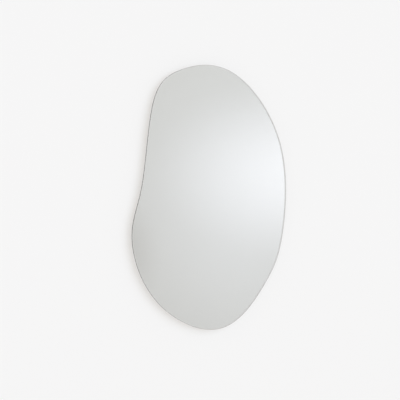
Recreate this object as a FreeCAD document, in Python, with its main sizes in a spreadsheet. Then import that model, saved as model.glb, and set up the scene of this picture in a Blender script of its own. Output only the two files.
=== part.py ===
"""Frameless wall mirror with an irregular, pebble-like outline, hung by two rings on its back.

Frame: millimetres, +Z up. The mirror faces -Y and the wall is the plane y = 0.
The origin lies on the wall plane, midway between the points where the two wall hooks bear.
Names that say left and right are as seen from the front.
"""
import FreeCAD, Part
import math
import os
import re
import Sketcher
from FreeCAD import Placement, Rotation, Vector

# The driving dimensions: name, size in millimetres, what it is.
SIZES = (
    ("glass_width", 600, "overall width of the glass"),
    ("glass_height", 900, "overall height of the glass"),
    ("glass_thickness", 5, "float glass"),
    ("edge_flat", 1, "flat band left between the two roundings of the pencil-polished edge"),
    ("bond_gap", 0.05, "between the glass and its reflective coating"),
    ("coating_thickness", 0.1, "silver with its protective paint"),
    ("film_thickness", 0.15, "safety film that holds the splinters"),
    ("coating_margin", 0.5, "flat glass left clear round the coating"),
    ("film_margin", 4, "bare coating left round the safety film"),
    ("tape_thickness", 1.5, "foam mounting tape, and the glue line beside it"),
    ("tape_width", 20, "foam mounting tape"),
    ("tape_side_margin", 130, "glass side to the middle of the outer tapes"),
    ("tape_end_margin", 170, "glass top and bottom to the ends of the tapes"),
    ("glue_width", 14, "pressed bead of mirror adhesive"),
    ("glue_end_margin", 60, "tape end to bead end"),
    ("board_thickness", 12, "backing board"),
    ("board_inset", 30, "glass edge to board edge"),
    ("board_rounding", 2, "round the board's back"),
    ("strap_thickness", 1, "hanger strap's sheet"),
    ("strap_width", 14, "hanger strap"),
    ("strap_tail", 3, "screw head to the strap's end"),
    ("strap_corner", 3, "rounding of the strap's lower corners"),
    ("fold_gap", 0.2, "between the strap's two layers"),
    ("crimp_drop", 5, "ring axis to the start of the strap's flat"),
    ("hanger_inset", 180, "glass side to the middle of a hanger"),
    ("hanger_drop", 230, "glass top to the axis of a ring"),
    ("ring_wire", 2.8, "diameter of the ring's wire"),
    ("ring_fit", 0.1, "radial play of the ring's bar in the strap's loop"),
    ("ring_play", 4, "strap side to the ring's leg"),
    ("ring_corner", 3.5, "bend between the ring's bar and its leg, at the wire's middle"),
    ("ring_leg", 3, "straight part of the ring's leg"),
    ("lean_gap", 0.3, "between the leaning ring and the board"),
    ("screw_shank", 3.5, "diameter of the strap screws"),
    ("screw_length", 11, "under the head"),
    ("screw_tip", 3, "length of the screw's point"),
    ("screw_head", 8, "diameter of the screw's head"),
    ("screw_head_height", 2.2, "domed head"),
    ("screw_head_rim", 0.8, "upright rim under the dome"),
    ("screw_bow_gap", 3, "folded ring to the lower screw's head"),
    ("strap_hole_play", 0.4, "screw in the strap, on the diameter"),
    ("pilot_play", 0.1, "screw in the board's pilot hole, on the diameter"),
    ("pilot_spare", 0.5, "pilot hole beyond the screw's point"),
    ("recess_arm", 4, "span of the cross recess"),
    ("recess_slot", 1, "width of the cross recess's slots"),
    ("recess_depth", 1.2, "cross recess"),
    ("bumper_inset", 150, "glass side to the middle of a bumper"),
    ("bumper_drop", 150, "glass top or bottom to the middle of a bumper"),
    ("bumper_foot", 22, "bumper's diameter on the board"),
    ("bumper_face", 18, "bumper's diameter at the wall"),
    ("bumper_rounding", 1.5, "round the bumper's face"),
    ("wall_clearance", 1, "hanger straps to the wall"),
)
# The outline's control points, anticlockwise from the lower right as seen from the front.
# Each stands at a share of the glass's width across, and of its height up, from the middle.
OUTLINE = (
    ("right_low", 0.483, -0.190),
    ("right_high", 0.537, 0.230),
    ("top", 0.136, 0.535),
    ("top_left", -0.229, 0.480),
    ("shoulder", -0.395, 0.399),
    ("waist", -0.423, 0.005),
    ("lobe", -0.541, -0.116),
    ("bottom_left", -0.413, -0.401),
    ("bottom", 0.086, -0.568),
    ("bottom_right", 0.389, -0.312),
)
TAPE_COUNT = 4
SIDES = (("left", -1), ("right", 1))
LEVELS = (("top", 1), ("bottom", -1))

# Sizes that follow from the driving ones.
EDGE_RADIUS = "(glass_thickness - edge_flat) / 2"
TAPE_LENGTH = "(glass_height - 2 * tape_end_margin)"
TAPE_PITCH = f"((glass_width - 2 * tape_side_margin) / {TAPE_COUNT - 1})"
GLUE_LENGTH = f"({TAPE_LENGTH} - 2 * glue_end_margin)"
# Across the back: the heights stand off the board's back, and what is up and down is from the ring's axis.
AXIS_HEIGHT = "(strap_thickness + ring_fit + ring_wire / 2)"
LOOP_INNER = "(ring_wire / 2 + ring_fit)"
LOOP_OUTER = f"({LOOP_INNER} + strap_thickness)"
STRAP_HEIGHT = "(2 * strap_thickness + fold_gap)"
RING_HALF_WIDTH = "(strap_width / 2 + ring_play + ring_wire / 2)"
RING_REACH = f"(ring_corner + ring_leg + {RING_HALF_WIDTH})"
LEAN = f"asin((strap_thickness + ring_fit - lean_gap) / {RING_REACH})"
UPPER_SCREW = f"((crimp_drop + {RING_REACH} - ring_wire / 2) / 2)"
LOWER_SCREW = f"({RING_REACH} + ring_wire / 2 + screw_bow_gap + screw_head / 2)"
STRAP_END = f"({LOWER_SCREW} + screw_head / 2 + strap_tail)"
# Where each layer's back lies, measured forwards from the wall.
BOARD_BACK = f"(2 * {LOOP_OUTER} + wall_clearance)"
TAPE_BACK = f"({BOARD_BACK} + board_thickness)"
FILM_BACK = f"({TAPE_BACK} + tape_thickness)"
COATING_BACK = f"({FILM_BACK} + film_thickness)"
GLASS_BACK = f"({COATING_BACK} + coating_thickness + bond_gap)"
HANGER_ACROSS = "(glass_width / 2 - hanger_inset)"
HANGER_UP = "(glass_height / 2 - hanger_drop)"
HOOK_UP = f"({HANGER_UP} + ({RING_REACH} - ring_wire / 2) * cos({LEAN}))"

doc = FreeCAD.newDocument("irregular_mirror")
parts = []


def fill_sheet():
    """Writes the driving dimensions and the outline's shares into the sheet, and returns their names."""
    sheet = doc.addObject("Spreadsheet::Sheet", "Sizes")
    rows = list(SIZES)
    for point, across, up in OUTLINE:
        rows.append((point + "_across", across, "share of the glass's width"))
        rows.append((point + "_up", up, "share of the glass's height"))
    for row, (name, size, note) in enumerate(rows, 1):
        sheet.set(f"A{row}", name)
        sheet.set(f"B{row}", str(size))
        sheet.set(f"C{row}", note)
        sheet.setAlias(f"B{row}", name)
    doc.recompute()
    return {name for name, size, note in rows}


NAMES = fill_sheet()


def expression(formula):
    """Turns a formula in the sheet's names into an expression on its cells."""
    return re.sub(r"[a-z_]+", lambda word: "Sizes." * (word[0] in NAMES) + word[0], formula)


def value(formula):
    """Returns what a formula comes to, as a plain number."""
    return float(doc.Sizes.evalExpression(expression(formula)))


def bind(thing, **formulas):
    """Binds properties of an object to formulas."""
    for name, formula in formulas.items():
        thing.setExpression(name, expression(formula))


def place(thing, across="0", forward="0", up="0"):
    """Puts an object across and up from the middle of the glass, and forwards from the wall.

    The origin is as high as the hooks, so the middle of the glass lies below it.
    """
    thing.setExpression("Placement.Base.x", expression(across))
    thing.setExpression("Placement.Base.y", expression(f"-({forward})"))
    thing.setExpression("Placement.Base.z", expression(f"{up} - {HOOK_UP}"))


def keep(thing, label):
    """Names a finished sub-part."""
    thing.Label = label
    parts.append(thing)
    return thing


def new_sketch(body, name, plane_role):
    """Adds a sketch on one of the body's own origin planes."""
    plane = next(item for item in body.Origin.OriginFeatures if item.Role == plane_role)
    sketch = body.newObject("Sketcher::SketchObject", name)
    sketch.AttachmentSupport = [(plane, "")]
    sketch.MapMode = "FlatFace"
    return sketch


def dimension(sketch, kind, *where, formula):
    """Adds one dimension that follows a formula."""
    index = sketch.addConstraint(Sketcher.Constraint(kind, *where, value(formula)))
    sketch.setExpression(f"Constraints[{index}]", expression(formula))


def pin(sketch, curve, end, across, up):
    """Dimensions a point of a sketch from the sketch's origin."""
    dimension(sketch, "DistanceX", -1, 1, curve, end, formula=across)
    dimension(sketch, "DistanceY", -1, 1, curve, end, formula=up)


def draw_loop(sketch, corners, arcs=()):
    """Joins the corners in a closed loop, with lines or with the arcs given by their first corner.

    An arc is its centre's two formulas, and "left" or "right" for the way it turns.
    Three of its ends' and centre's dimensions settle it, so only one is set for the centre.
    """
    spots = [Vector(value(across), value(up)) for across, up in corners]
    ends = []
    for index, start in enumerate(spots):
        stop = spots[(index + 1) % len(spots)]
        if index not in arcs:
            ends.append((sketch.addGeometry(Part.LineSegment(start, stop)), 1, 2))
            continue
        across, up, turn = arcs[index]
        centre = Vector(value(across), value(up))
        first, last = (start, stop) if turn == "left" else (stop, start)
        angles = [math.atan2(spot.y - centre.y, spot.x - centre.x) for spot in (first, last)]
        circle = Part.Circle(centre, Vector(0, 0, 1), (first - centre).Length)
        curve = sketch.addGeometry(Part.ArcOfCircle(circle, *angles))
        ends.append((curve, 1, 2) if turn == "left" else (curve, 2, 1))
    for index, (curve, start, stop) in enumerate(ends):
        following, entry, _ = ends[(index + 1) % len(ends)]
        sketch.addConstraint(Sketcher.Constraint("Coincident", curve, stop, following, entry))
        pin(sketch, curve, start, *corners[index])
        if index in arcs:
            across, up, turn = arcs[index]
            level = abs(spots[index].y - spots[(index + 1) % len(spots)].y) < 1e-9
            kind, formula = ("DistanceY", up) if level else ("DistanceX", across)
            dimension(sketch, kind, -1, 1, curve, 3, formula=formula)


def draw_circle(sketch, across, up, diameter):
    """Adds a dimensioned circle to a sketch."""
    centre = Vector(value(across), value(up))
    curve = sketch.addGeometry(Part.Circle(centre, Vector(0, 0, 1), value(diameter) / 2))
    pin(sketch, curve, 3, across, up)
    dimension(sketch, "Diameter", curve, formula=diameter)


def feature(body, kind, name, profile, **formulas):
    """Adds a feature to a body, on a sketch."""
    made = body.newObject("PartDesign::" + kind, name)
    made.Profile = profile
    bind(made, **formulas)
    doc.recompute()
    return made


def round_edges(body, name, radius, chosen):
    """Rounds the edges of the body's last feature that the test chooses."""
    base = body.Tip
    edges = [f"Edge{index}" for index, edge in enumerate(base.Shape.Edges, 1) if chosen(edge)]
    fillet = body.newObject("PartDesign::Fillet", name)
    fillet.Base = (base, edges)
    bind(fillet, Radius=radius)
    doc.recompute()


def outline_points(inset):
    """The control points of the glass's outline, drawn in by an inset.

    Each point moves inwards, square to the line between its two neighbours.
    """
    points = [(f"(glass_width * {name}_across)", f"(glass_height * {name}_up)") for name, _, _ in OUTLINE]
    drawn_in = []
    for index, (across, up) in enumerate(points):
        before, after = points[index - 1], points[(index + 1) % len(points)]
        run, rise = f"({after[0]} - {before[0]})", f"({after[1]} - {before[1]})"
        share = f"({inset}) / hypot({run}; {rise})"
        drawn_in.append((f"{across} - {rise} * {share}", f"{up} + {run} * {share}"))
    return drawn_in


def make_sheet(label, inset, thickness, back):
    """A flat layer whose edge runs inside the glass's edge all round, at a distance from the wall."""
    body = doc.addObject("PartDesign::Body", label)
    outline = new_sketch(body, label + "_outline", "XZ_Plane")
    points = outline_points(inset)
    poles = [Vector(value(across), value(up)) for across, up in points]
    curve = outline.addGeometry(Part.BSplineCurve(poles, None, None, True, 3, None, False))
    outline.exposeInternalGeometry(curve)
    for number, (across, up) in enumerate(points, 1):
        pin(outline, curve + number, 3, across, up)
    feature(body, "Pad", label + "_sheet", outline, Length=thickness)
    place(body, forward=back)
    return keep(body, label)


def make_glass():
    """The sheet of glass, cut to the outline, with its edge rounded and polished."""
    glass = make_sheet("mirror_glass", "0", "glass_thickness", GLASS_BACK)
    round_edges(glass, "polished_edge", EDGE_RADIUS, lambda edge: edge.isClosed())


def make_layers():
    """The reflective coating on the back of the glass, and the safety film on the coating."""
    coating_inset = f"{EDGE_RADIUS} + coating_margin"
    make_sheet("mirror_coating", coating_inset, "coating_thickness", COATING_BACK)
    make_sheet("safety_film", f"{coating_inset} + film_margin", "film_thickness", FILM_BACK)


def make_board():
    """The backing board, with pilot holes for the strap screws."""
    board = make_sheet("back_board", "board_inset", "board_thickness", BOARD_BACK)
    round_edges(board, "softened_edge", "board_rounding", is_rear_rim)
    pilots = new_sketch(board, "pilot_holes", "XZ_Plane")
    for across, up in screw_places():
        draw_circle(pilots, across, up, "screw_shank + pilot_play")
    depth = f"screw_length - {STRAP_HEIGHT} + pilot_spare"
    drilled = feature(board, "Pocket", "pilot_drilling", pilots, Length=depth)
    drilled.Reversed = True


def make_tapes():
    """Upright strips of foam tape between the board and the safety film."""
    for number in range(TAPE_COUNT):
        tape = doc.addObject("Part::Box", "tape")
        bind(tape, Length="tape_width", Width="tape_thickness", Height=TAPE_LENGTH)
        middle = f"{TAPE_PITCH} * ({number} - ({TAPE_COUNT - 1}) / 2)"
        place(tape, f"{middle} - tape_width / 2", FILM_BACK, f"-{TAPE_LENGTH} / 2")
        keep(tape, f"foam_tape_{number + 1}")


def make_glue():
    """Beads of mirror adhesive, pressed flat between the tapes."""
    for number in range(TAPE_COUNT - 1):
        body = doc.addObject("PartDesign::Body", "bead")
        sketch = new_sketch(body, "bead_outline", "XZ_Plane")
        half, end = "glue_width / 2", f"({GLUE_LENGTH} / 2 - glue_width / 2)"
        corners = ((half, f"-{end}"), (half, end), (f"-{half}", end), (f"-{half}", f"-{end}"))
        draw_loop(sketch, corners, {1: ("0", end, "left"), 3: ("0", f"-{end}", "left")})
        feature(body, "Pad", "bead_pad", sketch, Length="tape_thickness")
        place(body, f"{TAPE_PITCH} * ({number} - ({TAPE_COUNT - 2}) / 2)", TAPE_BACK)
        keep(body, f"adhesive_bead_{number + 1}")


def make_strap(side, sign):
    """A hanger strap: one strip, folded round the ring's bar and back onto itself."""
    body = doc.addObject("PartDesign::Body", "strap")
    profile = new_sketch(body, "strap_profile", "YZ_Plane")
    inside, slant = "(strap_thickness + fold_gap)", "strap_thickness / 3"
    corners = (
        ("0", f"-{STRAP_END}"),
        ("0", "0"),
        (f"2 * {LOOP_OUTER}", "0"),
        (f"2 * {LOOP_OUTER}", f"-ring_wire / 2 - {slant}"),
        (STRAP_HEIGHT, f"-crimp_drop - {slant}"),
        (STRAP_HEIGHT, f"-{STRAP_END}"),
        (inside, f"-{STRAP_END}"),
        (inside, "-crimp_drop"),
        (f"{AXIS_HEIGHT} + {LOOP_INNER}", "-ring_wire / 2"),
        (f"{AXIS_HEIGHT} + {LOOP_INNER}", "0"),
        ("strap_thickness", "0"),
        ("strap_thickness", f"-{STRAP_END}"),
    )
    draw_loop(profile, corners, {1: (AXIS_HEIGHT, "0", "right"), 9: (AXIS_HEIGHT, "0", "left")})
    strip = feature(body, "Pad", "strap_strip", profile, Length="strap_width")
    strip.SideType = "Symmetric"
    doc.recompute()
    holes = new_sketch(body, "strap_holes", "XZ_Plane")
    for drop in (UPPER_SCREW, LOWER_SCREW):
        draw_circle(holes, "0", f"-{drop}", "screw_shank + strap_hole_play")
    pocket = feature(body, "Pocket", "strap_drilling", holes)
    pocket.Type = "ThroughAll"
    doc.recompute()
    end = -value(STRAP_END)
    round_edges(body, "strap_corners", "strap_corner", lambda edge: is_end_corner(edge, end))
    place(body, f"{sign} * {HANGER_ACROSS}", BOARD_BACK, HANGER_UP)
    keep(body, f"hanger_strap_{side}")


def is_end_corner(edge, end):
    """Tells whether an edge of the strap is one of the corners at its lower end."""
    across_sheet = all(abs(vertex.Z - end) < 1e-6 for vertex in edge.Vertexes)
    return across_sheet and edge.Length < value("strap_thickness") * 1.01


def make_ring(side, sign):
    """A D-shaped ring of round wire, whose straight bar turns in the strap's loop."""
    body = doc.addObject("PartDesign::Body", "ring")
    bend, half, shoulder = f"({RING_HALF_WIDTH} - ring_corner)", RING_HALF_WIDTH, "(ring_corner + ring_leg)"
    path = new_sketch(body, "ring_path", "XZ_Plane")
    corners = (
        ("0", "0"),
        (bend, "0"),
        (half, "ring_corner"),
        (half, shoulder),
        (f"-{half}", shoulder),
        (f"-{half}", "ring_corner"),
        (f"-{bend}", "0"),
    )
    arcs = {1: (bend, "ring_corner", "left"), 3: ("0", shoulder, "left"), 5: (f"-{bend}", "ring_corner", "left")}
    draw_loop(path, corners, arcs)
    section = new_sketch(body, "ring_section", "YZ_Plane")
    draw_circle(section, "0", "0", "ring_wire")
    doc.recompute()
    wire = body.newObject("PartDesign::AdditivePipe", "ring_wire_run")
    wire.Profile = section
    wire.Spine = path
    doc.recompute()
    body.Placement = Placement(Vector(), Rotation(Vector(1, 0, 0), value(LEAN)))
    body.setExpression("Placement.Rotation.Angle", expression(LEAN))
    place(body, f"{sign} * {HANGER_ACROSS}", f"{BOARD_BACK} - {AXIS_HEIGHT}", HANGER_UP)
    keep(body, f"hanger_ring_{side}")


def screw_places():
    """Where the four strap screws stand, across and up from the middle of the glass."""
    return [
        (f"{sign} * {HANGER_ACROSS}", f"{HANGER_UP} - {drop}")
        for _, sign in SIDES
        for drop in (UPPER_SCREW, LOWER_SCREW)
    ]


def make_screw(across, up):
    """A wood screw with a domed head and a cross recess, its head resting on the strap."""
    body = doc.addObject("PartDesign::Body", "screw")
    profile = new_sketch(body, "screw_profile", "XY_Plane")
    corners = (
        ("0", "-screw_length"),
        ("screw_shank / 2", "-screw_length + screw_tip"),
        ("screw_shank / 2", "0"),
        ("screw_head / 2", "0"),
        ("screw_head / 2", "screw_head_rim"),
        ("0", "screw_head_height"),
    )
    dome = "(screw_head_height - screw_head_rim)"
    centre = f"screw_head_height - ((screw_head / 2) ^ 2 + {dome} ^ 2) / (2 * {dome})"
    draw_loop(profile, corners, {4: ("0", centre, "left")})
    turned = feature(body, "Revolution", "screw_turning", profile)
    turned.ReferenceAxis = (profile, ["V_Axis"])
    doc.recompute()
    recess = new_sketch(body, "recess_outline", "XZ_Plane")
    recess.setExpression("AttachmentOffset.Base.z", expression("recess_depth - screw_head_height"))
    arm, slot = "recess_arm / 2", "recess_slot / 2"
    quarter = ((arm, slot), (slot, slot), (slot, arm))
    draw_loop(recess, cross_corners(quarter))
    pocket = feature(body, "Pocket", "recess", recess)
    pocket.Type = "ThroughAll"
    doc.recompute()
    place(body, across, f"{BOARD_BACK} - {STRAP_HEIGHT}", up)
    return body


def cross_corners(quarter):
    """Turns the corners of one quarter of a cross into those of the whole cross."""
    corners = []
    for turn in range(4):
        for across, up in quarter:
            for _ in range(turn):
                across, up = f"-({up})", across
            corners.append((across, up))
    return corners


def make_screws():
    """The four screws that hold the straps to the board."""
    screws = doc.addObject("Part::Compound", "screws")
    screws.Links = [make_screw(across, up) for across, up in screw_places()]
    keep(screws, "strap_screws")


def make_bumpers():
    """Rubber bumpers on the board's back, which rest on the wall and keep the hangers off it."""
    for level, rise in LEVELS:
        for side, sign in SIDES:
            body = doc.addObject("PartDesign::Body", "bumper")
            profile = new_sketch(body, "bumper_profile", "XY_Plane")
            corners = (
                ("0", f"-{BOARD_BACK}"),
                ("bumper_foot / 2", f"-{BOARD_BACK}"),
                ("bumper_face / 2", "0"),
                ("0", "0"),
            )
            draw_loop(profile, corners)
            turned = feature(body, "Revolution", "bumper_moulding", profile)
            turned.ReferenceAxis = (profile, ["V_Axis"])
            doc.recompute()
            round_edges(body, "bumper_face_edge", "bumper_rounding", is_rear_rim)
            across = f"{sign} * (glass_width / 2 - bumper_inset)"
            place(body, across, "0", f"{rise} * (glass_height / 2 - bumper_drop)")
            keep(body, f"wall_bumper_{level}_{side}")


def is_rear_rim(edge):
    """Tells whether an edge runs round the rear face of a body."""
    return all(abs(vertex.Y) < 1e-6 for vertex in edge.Vertexes) and edge.isClosed()


def check_and_write():
    """Stops at any object that failed, and writes each sub-part's solid."""
    doc.recompute()
    for thing in doc.Objects:
        if {"Invalid", "Error"} & set(thing.State):
            raise RuntimeError(f"{thing.Label} failed: {thing.getStatusString()}")
    for part in parts:
        if part.Shape.isNull() or not part.Shape.isValid() or not part.Shape.Solids:
            raise RuntimeError(f"{part.Label} has no sound solid")
    os.makedirs("parts", exist_ok=True)
    for part in parts:
        part.Shape.exportStep(f"parts/{part.Label}.step")
        box = part.Shape.BoundBox
        size = f"{box.XLength:.1f} x {box.YLength:.1f} x {box.ZLength:.1f} mm"
        print(f"{part.Label}: {len(part.Shape.Solids)} solid(s), {part.Shape.Volume:.0f} mm3, {size}")


make_glass()
make_layers()
make_board()
make_tapes()
make_glue()
for side, sign in SIDES:
    make_strap(side, sign)
    make_ring(side, sign)
make_screws()
make_bumpers()
check_and_write()
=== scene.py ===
# A frameless wall mirror with an irregular, pebble-like outline: finishes for its glass, silver, film,
# tapes, adhesive, board, hangers and bumpers, a plain pale studio round it, and the camera level with its
# middle and to its left. Lengths are in metres, unless a comment says otherwise, and colours are linear.
import math

import bpy
from mathutils import Euler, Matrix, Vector


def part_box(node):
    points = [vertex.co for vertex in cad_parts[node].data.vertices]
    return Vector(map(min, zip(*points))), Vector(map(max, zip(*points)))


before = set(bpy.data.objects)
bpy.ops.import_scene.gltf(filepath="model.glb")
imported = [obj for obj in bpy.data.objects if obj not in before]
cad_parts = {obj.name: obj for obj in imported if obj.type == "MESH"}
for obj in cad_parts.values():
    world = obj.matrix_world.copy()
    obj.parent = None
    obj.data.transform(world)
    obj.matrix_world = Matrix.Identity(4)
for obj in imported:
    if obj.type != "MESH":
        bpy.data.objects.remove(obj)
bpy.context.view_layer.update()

PALE = 0.922  # the plain wall, floor and air, as the camera sees them where no shadow falls
COOL_PAINT = (0.880, 0.922, 0.965)  # the wall's and the floor's own colour
LIT_PAINT = (0.868, 0.922, 0.984)  # what the light makes of it
WALL_EVENNESS, FLOOR_EVENNESS = 0.65, 0.9  # the share of what the camera sees that light doesn't change
FLOOR_LEVEL = -1.6  # the line of the hooks is at 0
WALL_WIDTH, WALL_HEIGHT, FLOOR_DEPTH = 20.0, 5.0, 5.5
COVE, COVE_RADIUS, COVE_STEPS = 0.5, 0.45, 16  # how far up the floor's back goes, and the curve at its foot

# Paler and darker patches of the air. Each has its azimuth, in degrees from straight out of the mirror to
# the right of someone who looks at it; its elevation, in degrees; its reach across and up, roughly in
# radians; its share; and its colour.
PATCHES = (
    # What the face shows to the camera: its pale grey, its cool white zone, and its darker lower left.
    (31.4, 0.0, (0.17, 0.22), 1.0, (0.785, 0.785, 0.796)),
    (36.2, 1.8, (0.20, 0.11), 0.9, (1.060, 1.060, 1.100)),
    (23.4, -3.5, (0.055, 0.075), 1.0, (0.565, 0.552, 0.540)),
    # What it shows to someone elsewhere in the room.
    (-36.0, 14.0, (0.34, 0.26), 0.8, (0.900, 0.905, 0.910)),
    (-5.0, 3.0, (0.22, 0.24), 0.8, (0.870, 0.875, 0.882)),
    (6.0, -23.0, (0.26, 0.20), 0.8, (0.850, 0.855, 0.862)),
    (-52.0, -24.0, (0.36, 0.26), 0.8, (0.860, 0.865, 0.875)),
    (68.0, -20.0, (0.34, 0.26), 0.8, (0.860, 0.865, 0.870)),
    # Light above and dark below, for the steel seen from behind.
    (150.0, 38.0, (0.60, 0.30), 0.9, (1.100, 1.100, 1.090)),
    (200.0, -25.0, (0.80, 0.40), 0.8, (0.330, 0.325, 0.320)),
)

CAMERA_TURN, CAMERA_DISTANCE = 28.572, 3.2  # degrees to the mirror's left, and how far off
CAMERA_AIM = (-0.0487, 0.0, -0.0086)  # where it looks, from the middle of the glass's front
CAMERA_LENS, CAMERA_SENSOR = 85.306, 36.0  # millimetres


# ---------------------------------------------------------------- node helpers


def put(tree, kind, inputs=None, **settings):
    """Adds a node, with its settings, and gives each named or numbered input a value or a link."""
    made = tree.nodes.new(kind)
    for name, setting in settings.items():
        setattr(made, name, setting)
    for name, given in (inputs or {}).items():
        if isinstance(given, bpy.types.NodeSocket):
            tree.links.new(given, made.inputs[name])
        else:
            made.inputs[name].default_value = given
    return made


def math_of(tree, operation, first, second=0.0):
    return put(tree, "ShaderNodeMath", {0: first, 1: second}, operation=operation).outputs[0]


def times(tree, first, second):
    return math_of(tree, "MULTIPLY", first, second)


def highest(tree, values):
    top = values[0]
    for value in values[1:]:
        top = math_of(tree, "MAXIMUM", top, value)
    return top


def spread(tree, value, low, high, to_low=0.0, to_high=1.0):
    """Maps value from low..high to to_low..to_high, smoothly, and no further."""
    limits = {"From Min": low, "From Max": high, "To Min": to_low, "To Max": to_high}
    made = put(tree, "ShaderNodeMapRange", {"Value": value, **limits}, interpolation_type="SMOOTHSTEP")
    return made.outputs["Result"]


def roughness_by(tree, texture, least, most):
    """Roughness from least to most, by a noise, which keeps mostly between 0.3 and 0.7."""
    return spread(tree, texture, 0.3, 0.7, least, most)


def blend_values(tree, share, first, second):
    """The first value where share is 0, and the second where it is 1."""
    made = put(tree, "ShaderNodeMapRange", {"Value": share, "To Min": first, "To Max": second})
    return made.outputs["Result"]


def blend_colours(tree, share, first, second):
    """The first colour where share is 0, and the second where it is 1."""
    made = put(tree, "ShaderNodeMix", data_type="RGBA")
    for name, given in (("Factor_Float", share), ("A_Color", first), ("B_Color", second)):
        socket = next(s for s in made.inputs if s.identifier == name)
        if isinstance(given, bpy.types.NodeSocket):
            tree.links.new(given, socket)
        else:
            socket.default_value = given if name == "Factor_Float" else (*given, 1.0)
    return next(s for s in made.outputs if s.identifier == "Result_Color")


def object_place(tree, scale=(1.0, 1.0, 1.0), turn=0.0, shift=(0.0, 0.0, 0.0)):
    """The object's own coordinates, turned about the axis through the wall, and then scaled and shifted."""
    place = put(tree, "ShaderNodeTexCoord").outputs["Object"]
    if turn:
        turned = {"Vector": place, "Rotation": (0.0, turn, 0.0)}
        place = put(tree, "ShaderNodeMapping", turned).outputs["Vector"]
    shifted = {"Vector": place, "Scale": scale, "Location": shift}
    return put(tree, "ShaderNodeMapping", shifted).outputs["Vector"]


def along(tree, vector, axis):
    return put(tree, "ShaderNodeSeparateXYZ", {0: vector}).outputs[axis]


def facing(tree, axis):
    """How far the surface faces along that axis of its object, from -1 to 1."""
    return along(tree, put(tree, "ShaderNodeTexCoord").outputs["Normal"], axis)


def noise(tree, vector, scale, detail=3.0, roughness=0.5, distortion=0.0):
    look = {"Scale": scale, "Detail": detail, "Roughness": roughness, "Distortion": distortion}
    return put(tree, "ShaderNodeTexNoise", {"Vector": vector, **look}).outputs["Fac"]


def start_group(name, takes, gives):
    """A shader node group with float inputs {name: value} and outputs [names]."""
    group = bpy.data.node_groups.new(name, "ShaderNodeTree")
    for label, value in takes.items():
        socket = group.interface.new_socket(label, in_out="INPUT", socket_type="NodeSocketFloat")
        socket.default_value = value
    for label in gives:
        group.interface.new_socket(label, in_out="OUTPUT", socket_type="NodeSocketFloat")
    return group, group.nodes.new("NodeGroupInput").outputs, group.nodes.new("NodeGroupOutput").inputs


def use(tree, group, **values):
    """Places a node group in a material, with that material's own values."""
    inputs = {name.replace("_", " "): value for name, value in values.items()}
    return put(tree, "ShaderNodeGroup", inputs, node_tree=group).outputs


def start_finish(name, **values):
    """Gives its Principled shader these values; returns the material, its tree and the shader's inputs."""
    material = bpy.data.materials.new(name)
    material.use_nodes = True
    tree = material.node_tree
    tree.nodes.clear()
    shader = put(tree, "ShaderNodeBsdfPrincipled", values)
    put(tree, "ShaderNodeOutputMaterial", {"Surface": shader.outputs["BSDF"]})
    return material, tree, shader.inputs


def emboss(tree, shader, height, depth, strength):
    """Shows height, from 0 to 1, as a relief of that depth."""
    bump = put(tree, "ShaderNodeBump", {"Height": height, "Distance": depth, "Strength": strength})
    tree.links.new(bump.outputs["Normal"], shader["Normal"])


# ------------------------------------------------------ effects several finishes share


def make_rim():
    """1 where a surface looks sideways, as a cut edge does, and 0 where it looks to the room or wall."""
    group, takes, gives = start_group("Cut rim", {"Start": 0.95, "Full": 0.6}, ["Rim"])
    square_on = math_of(group, "ABSOLUTE", facing(group, "Y"))
    rim = spread(group, square_on, takes["Full"], takes["Start"], 1.0, 0.0)
    group.links.new(rim, gives["Rim"])
    return group


def make_mottle():
    """Slow, cloudy differences of tone."""
    group, takes, gives = start_group("Cloudy tone", {"Scale": 8.0, "Softness": 0.2}, ["Tone"])
    cloud = noise(group, object_place(group), takes["Scale"], detail=4.0, roughness=0.55, distortion=0.3)
    low = math_of(group, "SUBTRACT", 0.5, takes["Softness"])
    high = math_of(group, "ADD", 0.5, takes["Softness"])
    group.links.new(spread(group, cloud, low, high), gives["Tone"])
    return group


def make_grain():
    """Fine grain, and coarser specks."""
    group, takes, gives = start_group("Fine grain", {"Scale": 900.0, "Speck size": 0.62},
                                      ["Grain", "Specks"])
    fine = noise(group, object_place(group), takes["Scale"], detail=5.0, roughness=0.6)
    elsewhere = object_place(group, shift=(3.1, 1.7, 4.3))
    coarser = times(group, takes["Scale"], 0.37)
    full = math_of(group, "ADD", takes["Speck size"], 0.05)
    specks = spread(group, noise(group, elsewhere, coarser), takes["Speck size"], full)
    group.links.new(fine, gives["Grain"])
    group.links.new(specks, gives["Specks"])
    return group


def make_hairlines():
    """Faint straight scratches, in two directions."""
    group, takes, gives = start_group("Hairline scratches", {"Scale": 60.0, "Share": 0.1}, ["Lines"])
    start = math_of(group, "SUBTRACT", 0.74, takes["Share"])
    full = math_of(group, "ADD", start, 0.06)
    lines = []
    for turn, stretch in ((0.35, (1.0, 1.0, 28.0)), (-0.9, (34.0, 1.0, 1.0))):
        place = object_place(group, stretch, turn)
        streak = noise(group, place, takes["Scale"], detail=2.0, roughness=0.4)
        lines.append(spread(group, streak, start, full))
    group.links.new(highest(group, lines), gives["Lines"])
    return group


def make_worn_edges():
    """1 along sharp edges, where handling rubs a finish, in patches."""
    group, takes, gives = start_group("Worn edges", {"Width": 0.0004, "Unevenness": 300.0}, ["Wear"])
    rounded = put(group, "ShaderNodeBevel", {"Radius": takes["Width"]}, samples=4).outputs["Normal"]
    flat = put(group, "ShaderNodeNewGeometry").outputs["Normal"]
    alike = put(group, "ShaderNodeVectorMath", {0: rounded, 1: flat}, operation="DOT_PRODUCT")
    edge = spread(group, alike.outputs["Value"], 0.995, 0.86)
    handled = noise(group, object_place(group), takes["Unevenness"], detail=2.0)
    group.links.new(times(group, edge, spread(group, handled, 0.35, 0.6)), gives["Wear"])
    return group


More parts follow.
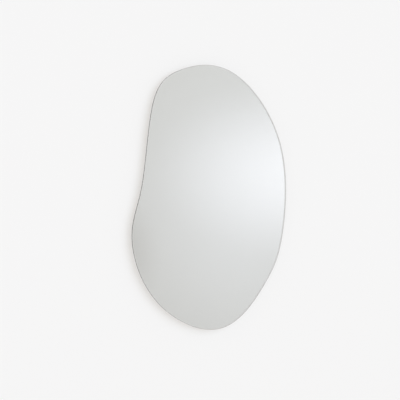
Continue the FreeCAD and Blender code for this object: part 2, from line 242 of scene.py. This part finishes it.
def make_dust():
    """Dust settled on what looks up, thin and uneven."""
    group, takes, gives = start_group("Settled dust", {"Amount": 0.5}, ["Dust"])
    upward = spread(group, facing(group, "Z"), 0.2, 0.95)
    drift = noise(group, object_place(group), 220.0, detail=4.0, roughness=0.65)
    uneven = spread(group, drift, 0.35, 0.65, to_low=0.35)
    group.links.new(times(group, times(group, upward, uneven), takes["Amount"]), gives["Dust"])
    return group


RIM, MOTTLE, GRAIN = make_rim(), make_mottle(), make_grain()
HAIRLINES, WORN_EDGES, DUST = make_hairlines(), make_worn_edges(), make_dust()


# ------------------------------------------------------------------- finishes


def float_glass():
    """Float glass: clear and faintly green through its face, and grey at its finely uneven polished rim."""
    clear_green, rim_grey = (0.993, 0.998, 0.995), (0.490, 0.488, 0.473)
    material, tree, shader = start_finish("Float glass", **{"Transmission Weight": 1.0, "IOR": 1.52})
    rim = use(tree, RIM, Start=0.998, Full=0.92)["Rim"]
    grain = use(tree, GRAIN, Scale=1400.0)["Grain"]
    tree.links.new(blend_colours(tree, rim, clear_green, rim_grey), shader["Base Color"])
    tree.links.new(times(tree, rim, spread(tree, grain, 0.35, 0.65, 0.03, 0.09)), shader["Roughness"])
    emboss(tree, shader, times(tree, grain, rim), depth=0.00002, strength=0.4)
    return material


def silver_and_paint():
    """Silver towards the glass, and grey protective paint, rolled on, towards the wall and at the edge."""
    dark_paint, pale_paint, silver = (0.345, 0.350, 0.345), (0.405, 0.410, 0.400), (0.955, 0.962, 0.955)
    material, tree, shader = start_finish("Silver and backing paint")
    silvered = spread(tree, facing(tree, "Y"), -0.4, -0.8)
    tone = use(tree, MOTTLE, Scale=9.0, Softness=0.18)["Tone"]
    grain = use(tree, GRAIN, Scale=700.0)["Grain"]
    paint = blend_colours(tree, tone, dark_paint, pale_paint)
    tree.links.new(blend_colours(tree, silvered, paint, silver), shader["Base Color"])
    tree.links.new(silvered, shader["Metallic"])
    rolled, mirror_smooth = roughness_by(tree, grain, 0.45, 0.65), 0.004
    tree.links.new(blend_values(tree, silvered, rolled, mirror_smooth), shader["Roughness"])
    lumps = times(tree, grain, math_of(tree, "SUBTRACT", 1.0, silvered))
    emboss(tree, shader, lumps, depth=0.00004, strength=0.5)
    return material


def reinforced_film():
    """Pale plastic film with the square grid of its reinforcing threads, pressed on with soft creases."""
    dark_film, pale_film, thread_grey = (0.42, 0.45, 0.46), (0.50, 0.53, 0.535), (0.66, 0.68, 0.68)
    dust_grey = (0.55, 0.53, 0.49)
    half_mesh, thread_foot, thread_top = 0.003, 0.0006, 0.0001
    coat = {"Coat Weight": 0.15, "Coat Roughness": 0.3}
    material, tree, shader = start_finish("Reinforced safety film", **coat)
    lines = []
    for axis in ("X", "Z"):
        from_thread = math_of(tree, "PINGPONG", along(tree, object_place(tree), axis), half_mesh)
        lines.append(spread(tree, from_thread, thread_foot, thread_top))
    threads = highest(tree, lines)
    tone = use(tree, MOTTLE, Scale=6.0, Softness=0.2)["Tone"]
    ground = blend_colours(tree, tone, dark_film, pale_film)
    threaded = blend_colours(tree, times(tree, threads, 0.6), ground, thread_grey)
    dusty = blend_colours(tree, use(tree, DUST, Amount=0.35)["Dust"], threaded, dust_grey)
    tree.links.new(dusty, shader["Base Color"])
    grain = use(tree, GRAIN, Scale=500.0)["Grain"]
    tree.links.new(roughness_by(tree, grain, 0.32, 0.5), shader["Roughness"])
    creases = noise(tree, object_place(tree, (1.0, 1.0, 0.4), turn=0.4), 24.0, distortion=0.8)
    relief = math_of(tree, "ADD", times(tree, threads, 0.25), times(tree, creases, 0.75))
    emboss(tree, shader, relief, depth=0.0004, strength=0.5)
    return material


def foam():
    """White closed-cell foam, cut with a knife, with its open cells, whose hollows are painted darker as
    shade.
    """
    cell_painted_shade, dull_white, white = (0.55, 0.55, 0.52), (0.74, 0.74, 0.71), (0.82, 0.82, 0.80)
    material, tree, shader = start_finish("Closed cell foam")
    cells = put(tree, "ShaderNodeTexVoronoi", {"Vector": object_place(tree), "Scale": 2600.0})
    hollow = spread(tree, cells.outputs["Distance"], 0.1, 0.6)
    tone = use(tree, MOTTLE, Scale=60.0, Softness=0.25)["Tone"]
    ground = blend_colours(tree, tone, dull_white, white)
    # painted shade: the hollows of the cells are darkened where shade falls in them
    tree.links.new(blend_colours(tree, hollow, cell_painted_shade, ground), shader["Base Color"])
    tree.links.new(spread(tree, hollow, 0.0, 1.0, 0.95, 0.82), shader["Roughness"])
    emboss(tree, shader, hollow, depth=0.00012, strength=0.7)
    return material


def mirror_adhesive():
    """Off-white neutral adhesive, cured with a smooth skin."""
    dark_cream, pale_cream = (0.60, 0.59, 0.55), (0.70, 0.69, 0.65)
    material, tree, shader = start_finish("Cured adhesive", **{"Subsurface Weight": 0.05})
    tone = use(tree, MOTTLE, Scale=45.0, Softness=0.25)["Tone"]
    tree.links.new(blend_colours(tree, tone, dark_cream, pale_cream), shader["Base Color"])
    lumps = noise(tree, object_place(tree), 130.0, detail=2.0)
    tree.links.new(roughness_by(tree, lumps, 0.36, 0.52), shader["Roughness"])
    emboss(tree, shader, lumps, depth=0.0006, strength=0.6)
    return material


def fibreboard(low, high):
    """Raw medium-density board, whose box has those corners: pressed fibres on its faces, and darker sawn
    edges with a looser core."""
    dark_board, board, pale_board = (0.360, 0.235, 0.130), (0.430, 0.290, 0.170), (0.470, 0.330, 0.200)
    dark_fibre, pale_speck = (0.190, 0.110, 0.055), (0.540, 0.400, 0.260)
    sawn_skin, sawn_core, sawn_speck = (0.250, 0.150, 0.075), (0.380, 0.255, 0.145), (0.180, 0.100, 0.050)
    rubbed_edge, dust_grey = (0.480, 0.350, 0.220), (0.520, 0.480, 0.420)
    material, tree, shader = start_finish("Raw fibreboard")
    tone = use(tree, MOTTLE, Scale=7.0, Softness=0.22)["Tone"]
    clouds = use(tree, MOTTLE, Scale=38.0, Softness=0.3)["Tone"]
    grain = use(tree, GRAIN, Scale=1700.0, Speck_size=0.6)

    ground = blend_colours(tree, tone, dark_board, board)
    ground = blend_colours(tree, times(tree, clouds, 0.5), ground, pale_board)
    fibres = []
    for turn in (0.3, 1.35, 2.4):
        fibre = noise(tree, object_place(tree, (1.0, 1.0, 5.0), turn), 330.0, roughness=0.6)
        fibres.append(spread(tree, fibre, 0.62, 0.72))
    pressed = blend_colours(tree, times(tree, highest(tree, fibres), 0.55), ground, dark_fibre)
    pressed = blend_colours(tree, times(tree, grain["Specks"], 0.3), pressed, pale_speck)

    middle, half = (low.y + high.y) / 2, (high.y - low.y) / 2
    depth = along(tree, object_place(tree, shift=(0.0, -middle, 0.0)), "Y")
    core = spread(tree, math_of(tree, "ABSOLUTE", depth), 0.2 * half, 0.8 * half, 1.0, 0.0)
    sawn = blend_colours(tree, core, sawn_skin, sawn_core)
    sawn = blend_colours(tree, times(tree, grain["Specks"], 0.5), sawn, sawn_speck)

    rim = use(tree, RIM, Start=0.98, Full=0.75)["Rim"]
    whole = blend_colours(tree, rim, pressed, sawn)
    worn = use(tree, WORN_EDGES, Width=0.0012, Unevenness=120.0)["Wear"]
    whole = blend_colours(tree, times(tree, worn, 0.5), whole, rubbed_edge)
    dusty = blend_colours(tree, use(tree, DUST, Amount=0.45)["Dust"], whole, dust_grey)
    tree.links.new(dusty, shader["Base Color"])
    pressed_smooth, sawn_rough = roughness_by(tree, grain["Grain"], 0.55, 0.72), 0.88
    tree.links.new(blend_values(tree, rim, pressed_smooth, sawn_rough), shader["Roughness"])
    loose = times(tree, times(tree, core, rim), grain["Specks"])
    relief = math_of(tree, "ADD", times(tree, grain["Grain"], 0.5), loose)
    emboss(tree, shader, relief, depth=0.00012, strength=0.6)
    return material


def zinc_steel():
    """Zinc-plated pressed steel: faint spangle, a bluish to straw tint, hairlines and rubbed edges."""
    bluish, straw, crystal = (0.50, 0.53, 0.57), (0.60, 0.585, 0.54), (0.70, 0.715, 0.73)
    rubbed_bright, dust_grey = (0.78, 0.785, 0.78), (0.45, 0.43, 0.39)
    material, tree, shader = start_finish("Zinc plated steel", Metallic=1.0)
    crystals = put(tree, "ShaderNodeTexVoronoi", {"Vector": object_place(tree), "Scale": 420.0})
    facet = put(tree, "ShaderNodeSeparateColor", {0: crystals.outputs["Color"]}).outputs[0]
    tint = use(tree, MOTTLE, Scale=55.0, Softness=0.2)["Tone"]
    ground = blend_colours(tree, tint, bluish, straw)
    spangle = blend_colours(tree, times(tree, facet, 0.35), ground, crystal)
    lines = use(tree, HAIRLINES, Scale=70.0, Share=0.12)["Lines"]
    wear = use(tree, WORN_EDGES, Width=0.0003)["Wear"]
    bright = highest(tree, [times(tree, lines, 0.5), wear])
    rubbed = blend_colours(tree, bright, spangle, rubbed_bright)
    dust = use(tree, DUST, Amount=0.25)["Dust"]
    tree.links.new(blend_colours(tree, dust, rubbed, dust_grey), shader["Base Color"])
    satin, polished = spread(tree, facet, 0.0, 1.0, 0.20, 0.32), 0.2
    tree.links.new(blend_values(tree, bright, satin, polished), shader["Roughness"])
    relief = math_of(tree, "SUBTRACT", times(tree, facet, 0.3), lines)
    emboss(tree, shader, relief, depth=0.00002, strength=0.5)
    return material


def screw_steel():
    """Bright plated screw steel: rubbed edges, fine scratches, and painted shade in the cross recess."""
    dull, bright, rubbed_bright = (0.62, 0.60, 0.55), (0.70, 0.69, 0.66), (0.82, 0.81, 0.79)
    # painted shade in the cross recess: its colour, and the depths where it starts and is full
    painted_recess_shade, shade_starts, shade_full = (0.20, 0.19, 0.18), 0.0007, 0.0014  # down from the top of the head
    material, tree, shader = start_finish("Bright screw steel", Metallic=1.0)
    head_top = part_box("strap_screws")[1].y
    depth = along(tree, object_place(tree), "Y")
    sunk = spread(tree, depth, head_top - shade_starts, head_top - shade_full)
    rubbed = use(tree, WORN_EDGES, Width=0.00015, Unevenness=900.0)["Wear"]
    tone = use(tree, MOTTLE, Scale=260.0, Softness=0.2)["Tone"]
    ground = blend_colours(tree, tone, dull, bright)
    ground = blend_colours(tree, rubbed, ground, rubbed_bright)
    # painted shade: the cross recess darkens with depth, where shade falls in it
    tree.links.new(blend_colours(tree, times(tree, sunk, 0.55), ground, painted_recess_shade), shader["Base Color"])
    lines = use(tree, HAIRLINES, Scale=300.0, Share=0.14)["Lines"]
    plated, scratched = spread(tree, tone, 0.0, 1.0, 0.2, 0.3), 0.42
    tree.links.new(blend_values(tree, lines, plated, scratched), shader["Roughness"])
    emboss(tree, shader, lines, depth=0.00001, strength=0.5)
    return material


def moulded_rubber():
    """Dark moulded rubber with a fine matt skin, scuffed on its rounded edges and dusty on top."""
    black, charcoal, scuff = (0.030, 0.030, 0.032), (0.046, 0.046, 0.048), (0.115, 0.112, 0.108)
    speck, dust_grey = (0.16, 0.155, 0.145), (0.34, 0.32, 0.29)
    bloom = {"Sheen Weight": 0.12, "Sheen Roughness": 0.5}
    material, tree, shader = start_finish("Moulded rubber", **bloom)
    grain = use(tree, GRAIN, Scale=1700.0, Speck_size=0.64)
    tone = use(tree, MOTTLE, Scale=90.0, Softness=0.25)["Tone"]
    worn = use(tree, WORN_EDGES, Width=0.0008)["Wear"]
    ground = blend_colours(tree, tone, black, charcoal)
    scuffed = blend_colours(tree, times(tree, worn, 0.6), ground, scuff)
    speckled = blend_colours(tree, times(tree, grain["Specks"], 0.3), scuffed, speck)
    dusty = blend_colours(tree, use(tree, DUST, Amount=0.4)["Dust"], speckled, dust_grey)
    tree.links.new(dusty, shader["Base Color"])
    tree.links.new(roughness_by(tree, grain["Grain"], 0.5, 0.68), shader["Roughness"])
    emboss(tree, shader, grain["Grain"], depth=0.00005, strength=0.5)
    return material


def dress(material, *starts):
    """Gives this finish to every CAD node whose name has one of these starts."""
    for name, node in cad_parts.items():
        if name.startswith(starts):
            node.data.materials.clear()
            node.data.materials.append(material)


dress(float_glass(), "mirror_glass")
dress(silver_and_paint(), "mirror_coating")
dress(reinforced_film(), "safety_film")
dress(foam(), "foam_tape")
dress(mirror_adhesive(), "adhesive_bead")
dress(fibreboard(*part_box("back_board")), "back_board")
dress(zinc_steel(), "hanger_strap", "hanger_ring")
dress(screw_steel(), "strap_screws")
dress(moulded_rubber(), "wall_bumper")


# --------------------------------------------------------------------- studio


def plain_surface(name, evenness):
    """Plain pale paint. The camera, metal and glass see its lit colour made up to PALE by an even warm
    tone, so that shadows on it are light and warm. It shows on its front only: a ray from behind passes
    through, and so does one that has passed through already, such as one that the mirror's back returns."""
    material = bpy.data.materials.new(name)
    material.use_nodes = True
    tree = material.node_tree
    tree.nodes.clear()
    rays = put(tree, "ShaderNodeLightPath").outputs
    seen = highest(tree, [rays["Is Camera Ray"], rays["Is Glossy Ray"], rays["Is Transmission Ray"]])
    tone = [(PALE - (1.0 - evenness) * part) / evenness for part in LIT_PAINT]
    paint = put(tree, "ShaderNodeBsdfDiffuse", {"Color": (*COOL_PAINT, 1.0)})
    even = put(tree, "ShaderNodeEmission", {"Color": (*tone, 1.0), "Strength": 1.0})
    front = put(tree, "ShaderNodeMixShader",
                {0: times(tree, seen, evenness), 1: paint.outputs[0], 2: even.outputs[0]})
    behind = put(tree, "ShaderNodeNewGeometry").outputs["Backfacing"]
    passed = math_of(tree, "GREATER_THAN", rays["Transparent Depth"], 0.5)
    clear = put(tree, "ShaderNodeBsdfTransparent")
    whole = put(tree, "ShaderNodeMixShader",
                {0: highest(tree, [behind, passed]), 1: front.outputs[0], 2: clear.outputs[0]})
    put(tree, "ShaderNodeOutputMaterial", {"Surface": whole.outputs[0]})
    return material


def lay_plane(name, width, length, place, tilt):
    """A plane of that size round that place, tilted up from flat by that many degrees."""
    bpy.ops.object.select_all(action="DESELECT")
    bpy.ops.mesh.primitive_plane_add(size=1.0, location=place, rotation=(math.radians(tilt), 0.0, 0.0))
    plane = bpy.context.object
    plane.name = name
    plane.scale = (width, length, 1.0)
    bpy.ops.object.transform_apply(location=True, rotation=True, scale=True)
    return plane


def edit_edge(piece, index):
    """Opens the piece in edit mode with that edge alone selected."""
    bpy.ops.object.mode_set(mode="EDIT")
    bpy.ops.mesh.select_mode(type="EDGE")
    bpy.ops.mesh.select_all(action="DESELECT")
    bpy.ops.object.mode_set(mode="OBJECT")
    piece.data.edges[index].select = True
    bpy.ops.object.mode_set(mode="EDIT")


def make_floor():
    """The floor, which curves up at the back into a cove under the wall."""
    floor = lay_plane("floor", WALL_WIDTH, FLOOR_DEPTH, (0.0, -FLOOR_DEPTH / 2, FLOOR_LEVEL), 0.0)
    corners = floor.data.vertices
    back = next(edge.index for edge in floor.data.edges
                if all(abs(corners[corner].co.y) < 1e-5 for corner in edge.vertices))
    edit_edge(floor, back)
    bpy.ops.mesh.extrude_region_move(TRANSFORM_OT_translate={"value": (0.0, 0.0, COVE)})
    bpy.ops.object.mode_set(mode="OBJECT")
    edit_edge(floor, back)
    bpy.ops.mesh.bevel(offset=COVE_RADIUS, segments=COVE_STEPS, affect="EDGES")
    bpy.ops.object.mode_set(mode="OBJECT")
    bpy.ops.object.shade_smooth()
    return floor


def make_wall():
    """The wall that the mirror hangs on, from the cove up."""
    height = WALL_HEIGHT - COVE
    return lay_plane("wall", WALL_WIDTH, height, (0.0, 0.0, FLOOR_LEVEL + COVE + height / 2), 90.0)


def patch(tree, direction, azimuth, elevation, reach):
    """1 in the middle of a patch of air, falling smoothly to 0 at its reach across and up."""
    turn = Euler((0.0, -math.radians(elevation), math.radians(azimuth - 90.0)))
    centre = Vector((1.0, 0.0, 0.0))
    centre.rotate(turn)
    depth = 1.5  # under 2, so that the opposite side of the room is left out
    where = {"Vector": direction, "Location": centre, "Rotation": turn, "Scale": (depth, *reach)}
    place = put(tree, "ShaderNodeMapping", where, vector_type="TEXTURE").outputs["Vector"]
    away = put(tree, "ShaderNodeVectorMath", {0: place}, operation="LENGTH").outputs["Value"]
    return spread(tree, away, 0.0, 1.0, 1.0, 0.0)


def light_the_air():
    """Soft grey air with its patches, paler above the horizon than below it, and darker and warmer far up
    and far down. The mirror shows it, and it lights the room, but the camera itself sees it plain."""
    below, above, far = (0.622, 0.612, 0.600), (0.700, 0.695, 0.683), (0.610, 0.560, 0.500)
    world = bpy.data.worlds.new("Studio air")
    world.use_nodes = True
    tree = world.node_tree
    tree.nodes.clear()
    direction = put(tree, "ShaderNodeTexCoord").outputs["Generated"]
    rise = along(tree, direction, "Z")
    air = blend_colours(tree, spread(tree, rise, -0.2, 0.3), below, above)
    air = blend_colours(tree, spread(tree, math_of(tree, "ABSOLUTE", rise), 0.25, 0.8), air, far)
    for azimuth, elevation, reach, share, colour in PATCHES:
        here = patch(tree, direction, azimuth, elevation, reach)
        air = blend_colours(tree, times(tree, here, share), air, colour)
    shown = put(tree, "ShaderNodeBackground", {"Color": air, "Strength": 1.0})
    plain = put(tree, "ShaderNodeBackground", {"Color": (PALE, PALE, PALE, 1.0), "Strength": 1.0})
    seen = put(tree, "ShaderNodeLightPath").outputs["Is Camera Ray"]
    both = put(tree, "ShaderNodeMixShader", {0: seen, 1: shown.outputs[0], 2: plain.outputs[0]})
    put(tree, "ShaderNodeOutputWorld", {"Surface": both.outputs[0]})
    bpy.context.scene.world = world


def hang_lamp(name, towards, strength, width, colour):
    """A far soft lamp, that many degrees wide, which shines along one direction."""
    data = bpy.data.lights.new(name, "SUN")
    data.energy, data.angle, data.color = strength, math.radians(width), colour
    lamp = bpy.data.objects.new(name, data)
    bpy.context.scene.collection.objects.link(lamp)
    lamp.rotation_euler = Vector(towards).to_track_quat("-Z", "Y").to_euler()
    lamp.visible_glossy = lamp.visible_transmission = False


def set_camera():
    """The photograph's view: level, and from the mirror's left."""
    low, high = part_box("mirror_glass")
    turn = math.radians(CAMERA_TURN)
    aim = Vector(((low.x + high.x) / 2, low.y, (low.z + high.z) / 2)) + Vector(CAMERA_AIM)
    data = bpy.data.cameras.new("camera")
    data.sensor_width, data.lens = CAMERA_SENSOR, CAMERA_LENS
    camera = bpy.data.objects.new("camera", data)
    bpy.context.scene.collection.objects.link(camera)
    camera.location = aim - CAMERA_DISTANCE * Vector((math.sin(turn), math.cos(turn), 0.0))
    camera.rotation_euler = (math.radians(90.0), 0.0, -turn)
    bpy.context.scene.camera = camera


wall, floor = make_wall(), make_floor()
painted = ((wall, "Plain wall paint", WALL_EVENNESS), (floor, "Plain floor paint", FLOOR_EVENNESS))
for surface, name, evenness in painted:
    surface.data.materials.append(plain_surface(name, evenness))
# The floor neither lights the mirror nor shows in it, where it would put a horizon.
floor.visible_diffuse = floor.visible_glossy = floor.visible_transmission = False
light_the_air()
hang_lamp("key_lamp", towards=(-0.5, 1.0, -0.35), strength=1.375, width=60.0, colour=(0.920, 1.000, 1.130))
hang_lamp("rear_lamp", towards=(0.25, -1.0, -0.5), strength=0.9, width=30.0, colour=(1.0, 1.0, 1.0))
set_camera()
bpy.context.scene.view_settings.view_transform = "Standard"
